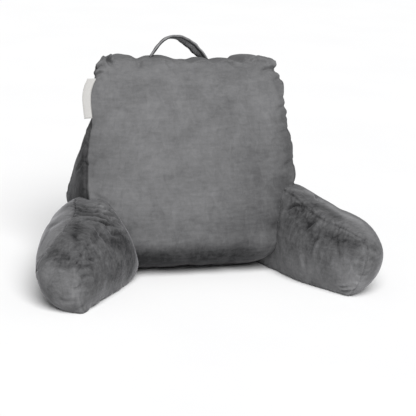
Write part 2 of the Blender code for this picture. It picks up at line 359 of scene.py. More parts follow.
def lowWaves(points, look):
    # slow uneven swelling of a stuffed panel, the same in every run
    dice = np.random.default_rng(look["seed"])
    total = np.zeros(len(points))
    for _ in range(look["waves"]):
        direction = unit(dice.normal(size=3))
        pitch = look["size"] * dice.uniform(0.6, 1.7)
        total += np.sin(points @ direction * 2 * math.pi / pitch + dice.uniform(0, 6.28))
    return look["height"] * total / look["waves"] ** 0.5


def flattenBelow(points, soft=0.004):
    # presses the underside flat on the floor, with a soft rim
    lifted = points[:, 2]
    pressed = np.where(lifted > -soft, (lifted + soft) ** 2 / (4 * soft), 0.0)
    points = points.copy()
    points[:, 2] = np.where(lifted > soft, lifted, pressed)
    return points


filling = {
    "frames": 20,
    "travel": 0.010,        # the most that a point may move
    "seamHold": 0.006,      # how far from a seam the cloth is held
    "floorHold": 0.004,     # and how far from the floor
    "leastHold": 0.02,      # the hold everywhere else
    "holdSteps": 20,
    "cloth": dict(quality=5, mass=0.3, tension_stiffness=12.0, compression_stiffness=12.0,
                  shear_stiffness=4.8, tension_damping=20.0, compression_damping=20.0, air_damping=4.0,
                  use_pressure=True, uniform_pressure_force=4.0),
    # shrink_min: minus the share that the panels are cut too large; bending: how stiff the velour is
    # settle: rounds in which a point's move nears that of its neighbours
    "backrest": dict(cloth=dict(bending_stiffness=0.4, shrink_min=-0.05), settle=3),
    "arms": dict(cloth=dict(bending_stiffness=2.0, shrink_min=-0.015), settle=24),
}


def holdSeams(piece, sizes, panelAxis):
    # seams, the underside and an arm's root face stay where they are while the piece is filled
    places = readPlaces(piece.data)
    distances = edgeDistances(places, sizes)
    seam = np.minimum(*[distances[k] for k in range(3) if k != panelAxis])
    weights = np.maximum(np.exp(-(seam / filling["seamHold"]) ** 2), filling["leastHold"])
    weights = np.maximum(weights, (readPoints(piece.data)[:, 2] < filling["floorHold"]) * 1.0)
    if panelAxis == 0:
        weights = np.maximum(weights, (places[:, 1] < -1 + onFace) * 1.0)
    group = piece.vertex_groups.new(name="held")
    levels = np.round(weights * filling["holdSteps"]) / filling["holdSteps"]
    for level in np.unique(levels):
        if level > 0:
            group.add(np.flatnonzero(levels == level).tolist(), float(level), "REPLACE")


def fillPieces(pieces, kinds):
    # cloth with air in it, held at the seams; each point keeps near its form
    starts = [readPoints(piece.data) for piece in pieces]
    for piece, kind in zip(pieces, kinds):
        cloth = piece.modifiers.new("filling", "CLOTH")
        for name, value in {**filling["cloth"], **filling[kind]["cloth"]}.items():
            setattr(cloth.settings, name, value)
        cloth.settings.vertex_group_mass = "held"
        cloth.settings.effector_weights.gravity = 0.0
        cloth.collision_settings.use_collision = False
        cloth.point_cache.frame_start = 1
        cloth.point_cache.frame_end = filling["frames"]
    for step in range(1, filling["frames"] + 1):
        bpy.context.scene.frame_set(step)
    for piece, kind, start in zip(pieces, kinds, starts):
        applyModifiers(piece)
        piece.vertex_groups.clear()
        moved = readPoints(piece.data) - start
        moved = relax(moved, meshEdges(piece.data), np.ones(len(moved)), filling[kind]["settle"])
        far = np.linalg.norm(moved, axis=1, keepdims=True)
        moved *= filling["travel"] * np.tanh(far / filling["travel"]) / np.maximum(far, 1e-9)
        writePoints(piece.data, start + moved)
        print(piece.name, "filled, moved", round(float(far.mean()), 4), "m in the mean")
    bpy.context.scene.frame_set(1)


backrest = {
    "table": {   # by level from the floor to the top
        "at": (0.00, 0.08, 0.25, 0.45, 0.72, 1.00),
        "z": (-0.012, 0.030, 0.108, 0.195, 0.318, 0.442),
        "frontHalf": (0.150, 0.168, 0.196, 0.224, 0.218, 0.206),
        "rearHalf": (0.190, 0.216, 0.228, 0.210, 0.172, 0.153),
        "frontY": (0.112, 0.027, 0.018, 0.054, 0.100, 0.146),
        "rearY": (0.205, 0.240, 0.255, 0.257, 0.249, 0.231),
    },
    "cells": (78, 34, 84),
    "grading": 0.30,
    "sizes": (0.43, 0.16, 0.47),   # about how far each cube axis runs over the cloth
    "seamSoft": (0.020, 10),       # how far from a seam the form is rounded, and in how many rounds
    "cornerSoft": (0.035, 24),
    "frontCrown": 0.030,
    "rearCrown": 0.022,
    "sideCrown": 0.007,
    "topCrown": 0.007,
    "rearTopDrop": 0.016,
    "cornerDrop": 0.008,
    "cornerInset": 0.012,
    "rightTrim": 0.005,
    "flatness": 2.6,
    "leftHollow": 0.015,           # the left side is less full towards the rear
    "leftFront": 0.015,            # and fuller at its front edge, low down
    "seamBack": 0.008,             # how far round the edge the panel's seam lies
    "seed": 11,
    "swelling": dict(waves=14, size=0.16, height=0.0010, seed=5),
    # swells between pinched places, then short wrinkles, then the groove of the thread
    "seams": dict(pinchPitch=0.052, swell=0.0014, draw=0.0026, spread=0.020,
                  pitch=0.026, reach=0.032, width=0.0044, depth=0.0013, tilt=0.40, bend=8.0,
                  groove=0.0030, grooveWidth=0.0035),
    # how much lighter the colour is than on the middle of the front, or darker where minus: painted light
    # and shade
    # painted shade under the front's roll
    "underFrontShade": -0.39,
    "cornerShare": 0.55,           # the share of that painted shade at the front's sides
    "underSideShare": 0.7,         # and on the other faces
    # painted shade low on the front
    "lowFrontShade": -0.045,
    # painted highlight near the front's side edges
    "frontSidesHighlight": 0.03,
    # painted shade on the side faces, more on the left and most low down there
    "rightSideShade": -0.10,
    "leftSideShade": -0.25,
    "leftSideLowShade": -0.05,
}
# Swells of the sides by level, and of the top by place across.
sidePuffs = [
    dict(side=1, level=0.97, reach=0.045, swell=0.005),
    dict(side=1, level=0.80, reach=0.055, swell=0.003),
    dict(side=1, level=0.66, reach=0.050, swell=0.004),
    dict(side=1, level=0.52, reach=0.050, swell=0.002),
    dict(side=-1, level=0.97, reach=0.050, swell=0.003),
    dict(side=-1, level=0.84, reach=0.045, swell=0.002),
    dict(side=-1, level=0.41, reach=0.045, swell=-0.002),
    dict(side=-1, level=0.29, reach=0.035, swell=0.006),
]
topPuffs = [
    dict(across=-0.86, reach=0.16, swell=0.010),
    dict(across=-0.48, reach=0.14, swell=0.004),
    dict(across=0.22, reach=0.16, swell=0.003),
    dict(across=0.74, reach=0.12, swell=0.006),
    dict(across=0.93, reach=0.10, swell=0.005),
]


# The outline's own unevenness, as pairs: the top's lift by place across, and how far the sides
# stand out by level.
topLine = [
    (-1.00, -0.010), (-0.90, -0.004), (-0.80, -0.004), (-0.66, -0.003), (-0.54, -0.010),
    (-0.42, -0.007), (-0.32, -0.004), (-0.12, -0.010), (0.06, -0.011), (0.20, -0.010), (0.34, -0.011),
    (0.50, -0.007), (0.60, -0.010), (0.67, -0.016), (0.72, -0.011), (0.78, -0.001), (0.90, 0.001),
    (1.00, 0.001),
]
rightLine = [
    (0.40, 0.006), (0.47, 0.004), (0.52, 0.000), (0.60, 0.005), (0.66, -0.002), (0.70, 0.000),
    (0.735, 0.006), (0.775, 0.000), (0.82, 0.003), (0.885, 0.008), (0.925, 0.001), (0.955, -0.010),
    (0.985, 0.003), (1.00, 0.004),
]
leftLine = [
    (0.58, 0.000), (0.64, -0.002), (0.72, -0.005), (0.78, -0.001), (0.88, -0.003), (0.925, -0.009),
    (0.955, -0.004), (0.985, -0.006), (1.00, -0.006),
]


def backrestPoint(places):
    u, v, w = places[:, 0], places[:, 1], places[:, 2]
    level, depth, rise = (w + 1) / 2, (v + 1) / 2, np.maximum(w, 0.0)
    row = readTable(backrest["table"], level)
    crownU = 1 - np.abs(u) ** backrest["flatness"]
    crownW = 1 - np.abs(w) ** backrest["flatness"]
    half = mix(row["frontHalf"], row["rearHalf"], depth)
    x = u * half * (1 - backrest["cornerInset"] * rise ** 12)
    x -= backrest["rightTrim"] * np.maximum(u, 0.0) ** 2 * rise ** 0.5
    x += u * backrest["sideCrown"] * (1 - v * v) * crownW
    y = mix(row["frontY"], row["rearY"], depth)
    fill = crownU * crownW
    y += backrest["rearCrown"] * fill * depth - backrest["frontCrown"] * fill * (1 - depth)
    z = row["z"] + backrest["topCrown"] * (1 - v * v) * crownU * rise
    z -= backrest["cornerDrop"] * np.abs(u) ** 10 * rise ** 4
    z -= backrest["rearTopDrop"] * depth * rise ** 4
    for puff in sidePuffs:
        beside = np.maximum(u * puff["side"], 0.0) ** 6
        x += puff["side"] * puff["swell"] * beside * hump(level - puff["level"], puff["reach"] * 1.6)
    for puff in topPuffs:
        z += puff["swell"] * rise ** 8 * hump(u - puff["across"], puff["reach"])
    z += rise ** 8 * readLine(topLine, u)
    x += np.maximum(u, 0.0) ** 8 * readLine(rightLine, level) * easeIn(level, 0.36, 0.42)
    x -= np.maximum(-u, 0.0) ** 8 * readLine(leftLine, level)
    x += np.maximum(-u, 0.0) ** 4 * backrest["leftHollow"] * depth * hump(level - 0.62, 0.20)
    x -= np.maximum(-u, 0.0) ** 5 * backrest["leftFront"] * (1 - depth) ** 1.5 * hump(level - 0.33, 0.17)
    return np.stack([x, y, z], -1) - boxMiddle


def makeBackrest():
    places, faces = cubeGrid(backrest["cells"], backrest["grading"])
    alongU, alongV, alongW = edgeDistances(places, backrest["sizes"])
    edges = faceEdges(faces)
    points = backrestPoint(places)
    points = soften(points, edges, np.minimum(alongU, alongW), backrest["seamSoft"])
    points = soften(points, edges, alongV, backrest["cornerSoft"])
    return softForm("backrest_velour", flattenBelow(points), places, faces)


# Folds of the backrest, and strokes that make its colour lighter or darker, with painted shade where
# noted: their width, their depth or shade, and their way.
backFolds = [
    fold(0.0045, 0.011, (-0.90, -0.50, 1.0), (-0.86, -0.85, 1.0), (-0.83, -1, 0.97), (-0.79, -1, 0.93)),
    fold(0.0045, 0.006, (-1, -0.90, 0.97), (-0.93, -1, 0.94), (-0.86, -1, 0.92)),
    fold(0.0040, 0.005, (-1, -0.90, 0.86), (-0.93, -1, 0.87), (-0.86, -1, 0.86)),
    fold(0.0060, 0.004, (-0.52, -0.80, 1.0), (-0.51, -1, 0.97), (-0.50, -1, 0.93)),
    fold(0.0060, 0.003, (-0.22, -0.80, 1.0), (-0.20, -1, 0.97), (-0.16, -1, 0.93)),
    fold(0.0060, 0.004, (0.47, -0.80, 1.0), (0.50, -1, 0.97), (0.55, -1, 0.93)),
    fold(0.0045, 0.003, (0.78, -0.80, 1.0), (0.77, -1, 0.97), (0.74, -1, 0.94)),
    fold(0.0055, 0.006, (1, -0.80, 0.91), (0.93, -1, 0.90), (0.84, -1, 0.88), (0.78, -1, 0.85)),
    fold(0.0050, 0.003, (1, -0.80, 0.82), (0.94, -1, 0.80), (0.88, -1, 0.77)),
    fold(0.0060, 0.003, (1, -0.80, 0.55), (0.94, -1, 0.54), (0.86, -1, 0.51)),
    fold(0.0060, 0.003, (1, -0.80, 0.33), (0.93, -1, 0.32), (0.84, -1, 0.30)),
    fold(0.0060, 0.003, (1, -0.80, 0.06), (0.92, -1, 0.04), (0.84, -1, 0.00)),
    fold(0.0060, 0.004, (-1, -0.96, 0.30), (-1, -0.55, 0.14), (-1, -0.10, 0.00)),
    fold(0.0050, 0.004, (-1, -0.96, 0.16), (-1, -0.60, 0.02), (-1, -0.20, -0.06)),
    fold(0.0060, 0.003, (-1, -0.96, 0.42), (-1, -0.55, 0.30), (-1, -0.10, 0.22)),
    fold(0.0045, 0.0025, (-0.98, -1, -0.24), (-0.90, -1, -0.30), (-0.82, -1, -0.36)),
    fold(0.0045, 0.0020, (-0.98, -1, -0.18), (-0.88, -1, -0.22), (-0.78, -1, -0.29)),
]
backStrokes = [
    # these three: painted shade on the left side face
    stroke(0.060, -0.09, (-1, -0.9, 0.25), (-1, -0.5, -0.1), (-1, -0.2, -0.5)),
    stroke(0.055, -0.06, (-1, -0.6, -0.1), (-1, 0.0, -0.35), (-1, 0.5, -0.5)),
    stroke(0.050, -0.10, (-1, 0.9, 0.15), (-1, 0.75, -0.20), (-1, 0.6, -0.50)),
    # painted shade on the front next to the right arm
    stroke(0.034, -0.21, (0.97, -1, 0.36), (0.92, -1, 0.00), (0.88, -1, -0.27), (0.82, -1, -0.48)),
    stroke(0.060, -0.10, (0.60, -1, 0.05), (0.50, -1, -0.20), (0.42, -1, -0.50)),
    stroke(0.035, -0.07, (0.72, -1, 0.00), (0.56, -1, -0.26)),
    stroke(0.020, -0.10, (-0.72, -1, -0.48), (-0.70, -1, -0.80)),
    stroke(0.060, 0.05, (-0.30, -1, 0.70), (-0.28, -1, 0.42)),
    stroke(0.035, 0.06, (0.72, -1, 0.62), (0.76, -1, 0.12)),
    stroke(0.010, 0.10, (-0.97, -1, -0.10), (-0.96, -1, -0.24)),
    # these two: painted shade in the top-left corner's notch and folds
    stroke(0.006, -0.30, (-0.90, -0.60, 1.0), (-0.86, -0.90, 1.0), (-0.84, -1, 0.98)),
    stroke(0.004, -0.25, (-1, -0.99, 0.97), (-1, -1, 0.86)),
]


def dressBackrest(obj):
    mesh = obj.data
    places, points, normals = readPlaces(mesh), readPoints(mesh), readNormals(mesh)
    dice = np.random.default_rng(backrest["seed"])
    rise = lowWaves(points, backrest["swelling"])
    for panel in (-1, 1):
        for side in ((0, -1), (0, 1), (2, 1), (2, -1)):
            along, across, mask, length = seamFrame(places, backrest["sizes"], (1, panel), side)
            seam = along, across + backrest["seamBack"], mask, length
            rise = seamRelief(rise, seam, dice, backrest["seams"])
    tree = placeTree(places)
    for crease in backFolds:
        rise += foldRise(points, surfacePath(crease["through"], tree, points), crease)
    u, v, w = places.T
    front = v < onFace - 1
    beside = easeIn(np.abs(u), 0.70, 0.92)
    share = np.where(front, 1 - (1 - backrest["cornerShare"]) * beside, backrest["underSideShare"])
    shade = pileAndShadeStrokes(points, tree, backStrokes)
    # painted shade under the roll and low on the front, painted highlight near its side edges, painted
    # shade on the side faces
    shade += backrest["underFrontShade"] * easeIn(-w, 0.56, 0.80) * share
    shade += backrest["lowFrontShade"] * easeIn(-w, 0.20, 0.50) * front
    shade += backrest["frontSidesHighlight"] * easeIn(np.abs(u), 0.50, 0.80) * front
    shade += backrest["rightSideShade"] * (u > 1 - onFace)
    leftShade = backrest["leftSideShade"] + backrest["leftSideLowShade"] * easeIn(-w, -0.30, 0.40)
    shade += leftShade * (u < onFace - 1)
    keepPileAndShade(mesh, shade)
    writePoints(mesh, flattenBelow(points + normals * rise[:, None]))


# Arms as drawn for the right one, at stations from root to tip: seat is the seam beside the seat, far
# the one away from it; lean is how far the seat side leans in at the floor, toe how far both sides do.
armTable = {
    "at": (0.00, 0.25, 0.50, 0.75, 1.00),
    "seatX": (0.160, 0.200, 0.229, 0.263, 0.311),
    "seatY": (0.100, 0.018, -0.057, -0.127, -0.210),
    "farY": (0.222, 0.168, 0.060, -0.028, -0.129),
}
armSides = {
    1: {
        "table": {
            "farX": (0.170, 0.259, 0.306, 0.336, 0.377),
            "seatTop": (0.164, 0.179, 0.158, 0.144, 0.147),
            "farTop": (0.110, 0.137, 0.133, 0.129, 0.153),
            "lean": (0.004, 0.017, 0.017, 0.008, 0.002),
            "toe": (0.0, 0.0, 0.0, 0.0, 0.0),
        },
        "footBack": 0.15,       # how far the tip's foot is drawn back
        "fall": 0.40,           # how far the top falls at the tip
        "crown": 0.020,         # how far the tip swells forward
    },
    -1: {
        "table": {
            "farX": (0.170, 0.259, 0.302, 0.330, 0.371),
            "seatTop": (0.160, 0.168, 0.153, 0.145, 0.143),
            "farTop": (0.104, 0.109, 0.114, 0.118, 0.126),
            "lean": (0.036, 0.070, 0.054, 0.024, 0.000),
            "toe": (0.0, 0.0, 0.0, 0.008, 0.024),
        },
        "footBack": 0.07,
        "fall": 0.50,
        "crown": 0.024,
    },
}
arm = {
    "cells": (36, 90, 40),
    "grading": 0.25,
    "sizes": (0.13, 0.34, 0.15),
    "seamSoft": (0.020, 14),
    "crownSoft": (0.030, 16),
    "rootSoft": (0.010, 6),
    "round": 0.29,          # the share of the length that the rounded tip takes
    "innerCrown": 0.020,
    "outerCrown": 0.018,
    "topCrown": 0.018,
    "outerTuck": 0.024,
    "innerTuck": 0.011,
    "outerLift": 0.016,
    "sink": 0.012,
    "reachIn": 0.62,        # the share of the length within which it leaves the backrest
    "seed": 31,
    "swelling": dict(waves=14, size=0.11, height=0.0010),
    "seams": dict(pinchPitch=0.045, swell=0.0012, draw=0.0020, spread=0.018,
                  pitch=0.012, reach=0.026, width=0.0032, depth=0.0016, tilt=0.35, bend=8.0,
                  groove=0.0028, grooveWidth=0.0026),
    "footFaint": 0.25,      # how strong the wrinkles are along the foot's seams
    "seamShade": -0.05,     # how dark the pile is in a seam, and how far from it
    "seamShadeWidth": 0.0022,
    "rootEnd": 0.3,         # up to this v an arm's points are kept clear of the backrest
    "foldDepth": 1.25,      # on top of each fold's own depth
    "reliefShadeAndHighlight": 22.0,      # painted shade in folds and seams, and painted highlight where the cloth swells: how much darker the colour is for each metre that a fold is deep
}


def armPoint(places, side, exits=None):
    u, v, w = places[:, 0], places[:, 1], places[:, 2]
    length, level, out = (v + 1) / 2, (w + 1) / 2, (u + 1) / 2
    if exits is not None:
        length = exits + (1 - exits) * length
    start = 1 - arm["round"]
    bend = np.clip((length - start) / arm["round"], 0.0, 1.0)
    along = np.where(bend > 0, start + arm["round"] * bend * (1 - level ** 2 / 2) ** 0.5, length)
    shape = armSides[side]
    along = along - shape["footBack"] * bend * (1 - level) ** 2
    row = readTable({**armTable, **shape["table"]}, along)
    top = mix(row["seatTop"], row["farTop"], out)
    z = level * top * (1 - shape["fall"] * bend ** 2) ** 0.5 - arm["sink"] * (1 - level) ** 3
    z += arm["topCrown"] * (1 - u * u) * level ** 2
    z += arm["outerLift"] * out ** 3 * (1 - level) ** 3 * length
    seat = np.stack([row["seatX"] - row["lean"] * (1 - level ** 2), row["seatY"]], -1)
    far = np.stack([row["farX"], row["farY"]], -1)
    across = unit(far - seat)
    forward = np.stack([across[:, 1], -across[:, 0]], -1)
    tall = 1 - np.abs(w) ** 2.4
    held = 1 - np.maximum(v, 0.0) ** 3
    place = out * np.linalg.norm(far - seat, axis=1)
    place += tall * held * (arm["outerCrown"] * out - arm["innerCrown"] * (1 - out))
    place -= arm["outerTuck"] * out * (1 - level) ** 3
    place += arm["innerTuck"] * (1 - out) * (1 - level) ** 6
    reach = shape["crown"] * (1 - u * u) * bend ** 2 * (1 - np.abs(w) ** 3)
    flat = seat + across * place[:, None] + forward * reach[:, None]
    toe = row["toe"] * (1 - level) ** 2
    return np.stack([(flat[:, 0] - toe) * side, flat[:, 1], z], -1) - boxMiddle


def surfaceTree(obj):
    mesh = obj.data
    return BVHTree.FromPolygons([v.co for v in mesh.vertices], [tuple(f.vertices) for f in mesh.polygons])


def clearance(tree, points):
    # how far each point is outside a closed surface, minus when it is inside
    found = np.zeros(len(points))
    for k, point in enumerate(points):
        spot, normal, _, gap = tree.find_nearest(Vector(point))
        found[k] = gap if (Vector(point) - spot).dot(normal) > 0 else -gap
    return found


def pushClear(obj, tree, chosen):
    # moves the chosen points that touch or enter the backrest back out of it
    points = readPoints(obj.data)
    touching = chosen[clearance(tree, points[chosen]) < touchGap]
    for k in touching:
        spot, normal, _, _ = tree.find_nearest(Vector(points[k]))
        points[k] = spot + normal * touchGap
    writePoints(obj.data, points)
    print(obj.name, "points pushed clear", len(touching))


def lastExits(shares, outside):
    # the share at which each line leaves the backrest, from how far outside it is at each share
    exits = np.full(outside.shape[1:], shares[0])
    for k in range(len(shares) - 1):
        near, far = outside[k], outside[k + 1]
        crossed = (near <= touchGap) & (far > touchGap)
        part = (touchGap - near) / np.maximum(far - near, 1e-9)
        exits = np.where(crossed, shares[k] + part * (shares[k + 1] - shares[k]), exits)
    return exits


def armExits(tree, side, stepsU, stepsW):
    # for each line from root to tip, the share of its length that lies inside the backrest
    gridU, gridW = np.meshgrid(stepsU, stepsW, indexing="ij")
    shares = np.linspace(0.0, arm["reachIn"], 42)
    outside = []
    for share in shares:
        places = np.stack([gridU.ravel(), np.full(gridU.size, 2 * share - 1), gridW.ravel()], -1)
        outside.append(clearance(tree, armPoint(places, side)).reshape(gridU.shape))
    return lastExits(shares, np.stack(outside))


def readGrid(stepsU, stepsW, values, u, w):
    # the grid's value at (u, w), linear between its points
    i = np.clip(np.searchsorted(stepsU, u, side="right") - 1, 0, len(stepsU) - 2)
    j = np.clip(np.searchsorted(stepsW, w, side="right") - 1, 0, len(stepsW) - 2)
    s = np.clip((u - stepsU[i]) / (stepsU[i + 1] - stepsU[i]), 0, 1)
    t = np.clip((w - stepsW[j]) / (stepsW[j + 1] - stepsW[j]), 0, 1)
    low = mix(values[i, j], values[i + 1, j], s)
    high = mix(values[i, j + 1], values[i + 1, j + 1], s)
    return mix(low, high, t)


def makeArm(name, side, tree):
    places, faces = cubeGrid(arm["cells"], arm["grading"])
    stepsU, _, stepsW = [gradedSteps(count, arm["grading"]) for count in arm["cells"]]
    values = armExits(tree, side, stepsU, stepsW)
    print(name, "leaves the backrest at", values.min().round(3), "to", values.max().round(3))
    points = armPoint(places, side, readGrid(stepsU, stepsW, values, places[:, 0], places[:, 2]))
    alongU, alongV, alongW = edgeDistances(places, arm["sizes"])
    edges = faceEdges(faces)
    ahead, above = places[:, 1] > 0, places[:, 2] > 0
    seam = np.minimum(alongV, np.where(ahead, alongW, 1.0))
    points = soften(points, edges, seam, arm["seamSoft"])
    crown = np.where(ahead & above, alongU, 1.0)
    points = soften(points, edges, crown, arm["crownSoft"])
    rim = np.where(places[:, 1] < 0, np.minimum(alongU, alongW), 1.0)
    points = soften(points, edges, rim, arm["rootSoft"])
    return softForm(name, flattenBelow(points), places, faces)


# Where an arm's seam lies off the edge of its form, by side, panel and name, as pairs: metres along
# it, then metres into the boxing strip, or into the panel when minus.
seamShift = {
    (1, -1, "top"): [(0.0, 0.0), (0.24, 0.0), (0.29, 0.007), (0.34, 0.022)],
    (1, -1, "end"): [(0.0, 0.0), (0.06, 0.0), (0.096, 0.003), (0.125, 0.014), (0.15, 0.024)],
    (-1, -1, "top"): [(0.0, -0.012), (0.14, -0.016), (0.23, -0.015), (0.30, -0.007), (0.34, -0.003)],
    (-1, -1, "end"): [(0.0, -0.009), (0.05, -0.004), (0.08, -0.001), (0.15, -0.003)],
    (-1, 1, "top"): [(0.0, 0.055), (0.14, 0.072), (0.21, 0.070), (0.29, 0.060), (0.34, 0.030)],
    (-1, 1, "end"): [(0.0, 0.0), (0.11, 0.004), (0.15, 0.026)],
}
# How firmly a seam is drawn in, where it isn't 1.
seamDrawn = {(-1, -1, "end"): 0.30, (-1, -1, "top"): 0.70}
# Folds of the arms, right (1) and left (-1), and strokes that make the colour lighter or darker, with
# painted shade and painted highlight where noted.
armFolds = {
    1: [
        fold(0.0045, 0.0050, (-1, -0.84, 0.54), (-1, -0.66, 0.78), (-1, -0.51, 0.90), (-1, -0.36, 0.86)),
        fold(0.0050, 0.0045, (-1, -0.88, 0.92), (-0.9, -0.80, 1.0), (-0.6, -0.72, 1.0),
             (-0.2, -0.60, 1.0)),
        fold(0.0050, 0.0030, (-0.6, -0.50, 1.0), (-0.2, -0.42, 1.0), (0.3, -0.40, 1.0)),
        fold(0.0080, 0.0040, (-1, -0.08, 0.92), (-1, -0.16, 0.71), (-1, -0.28, 0.50), (-1, -0.36, 0.36)),
        fold(0.0050, -0.0030, (-1, -0.74, 0.42), (-1, -0.60, 0.56), (-1, -0.50, 0.66)),
        fold(0.0045, -0.0028, (-1, 0.10, 0.52), (-1, 0.06, 0.26), (-1, 0.02, 0.00)),
        fold(0.0070, -0.0025, (-1, -0.30, -0.10), (-1, -0.20, -0.34), (-1, -0.18, -0.55)),
        fold(0.0035, 0.0025, (-1, 0.62, -0.66), (-1, 0.78, -0.58), (-1, 0.94, -0.44)),
        fold(0.0035, 0.0025, (-1, 0.70, -0.74), (-1, 0.84, -0.70), (-1, 0.98, -0.60)),
        fold(0.0080, 0.0020, (-1, 0.40, 0.60), (-1, 0.52, 0.30), (-1, 0.50, 0.05)),
    ],
    -1: [
        fold(0.0036, 0.0050, (-0.20, -0.44, 1.0), (-0.50, -0.42, 1.0), (-0.83, -0.43, 1.0),
             (-1, -0.64, 0.85), (-1, -0.84, 0.66)),
        fold(0.0034, 0.0045, (-0.20, -0.64, 1.0), (-0.60, -0.62, 1.0), (-0.92, -0.62, 1.0),
             (-1, -0.82, 0.82)),
        fold(0.0034, 0.0040, (-0.05, -0.24, 1.0), (-0.45, -0.30, 1.0), (-0.90, -0.36, 1.0),
             (-1, -0.52, 0.76), (-1, -0.74, 0.60)),
        fold(0.0038, 0.0062, (-0.25, 0.18, 1.0), (-0.61, -0.10, 1.0), (-0.94, -0.17, 1.0),
             (-1, -0.36, 0.84), (-1, -0.62, 0.58)),
        fold(0.0036, -0.0030, (-0.10, -0.02, 1.0), (-0.50, -0.20, 1.0), (-0.92, -0.25, 1.0),
             (-1, -0.42, 0.80)),
        fold(0.0050, 0.0030, (-1, -0.28, 0.62), (-1, -0.50, 0.50), (-1, -0.78, 0.36)),
        fold(0.0055, -0.0020, (-1, -0.05, 0.66), (-1, -0.20, 0.56), (-1, -0.42, 0.44)),
        fold(0.0040, 0.0035, (-0.60, -0.66, 1.0), (-0.86, -0.72, 1.0), (-1, -0.84, 0.84)),
        fold(0.0036, 0.0026, (-1, 0.72, 0.66), (-1, 0.62, 0.52), (-1, 0.54, 0.40)),
        fold(0.0036, 0.0026, (-1, 0.82, 0.56), (-1, 0.70, 0.42), (-1, 0.60, 0.28)),
        fold(0.0036, 0.0022, (-1, 0.90, 0.36), (-1, 0.78, 0.24), (-1, 0.66, 0.12)),
        fold(0.0070, 0.0025, (-0.40, 0.62, 1.0), (-0.70, 0.70, 1.0), (-0.95, 0.80, 1.0)),
        fold(0.0070, 0.0020, (-0.9, 1, 0.80), (-0.6, 1, 0.76), (-0.3, 1, 0.78)),
        fold(0.0045, 0.0018, (-0.95, 1, -0.30), (-0.6, 1, -0.34), (-0.3, 1, -0.30)),
        fold(0.0040, 0.0020, (-1, 0.80, -0.82), (-1, 0.60, -0.84), (-1, 0.40, -0.84)),
    ],
}
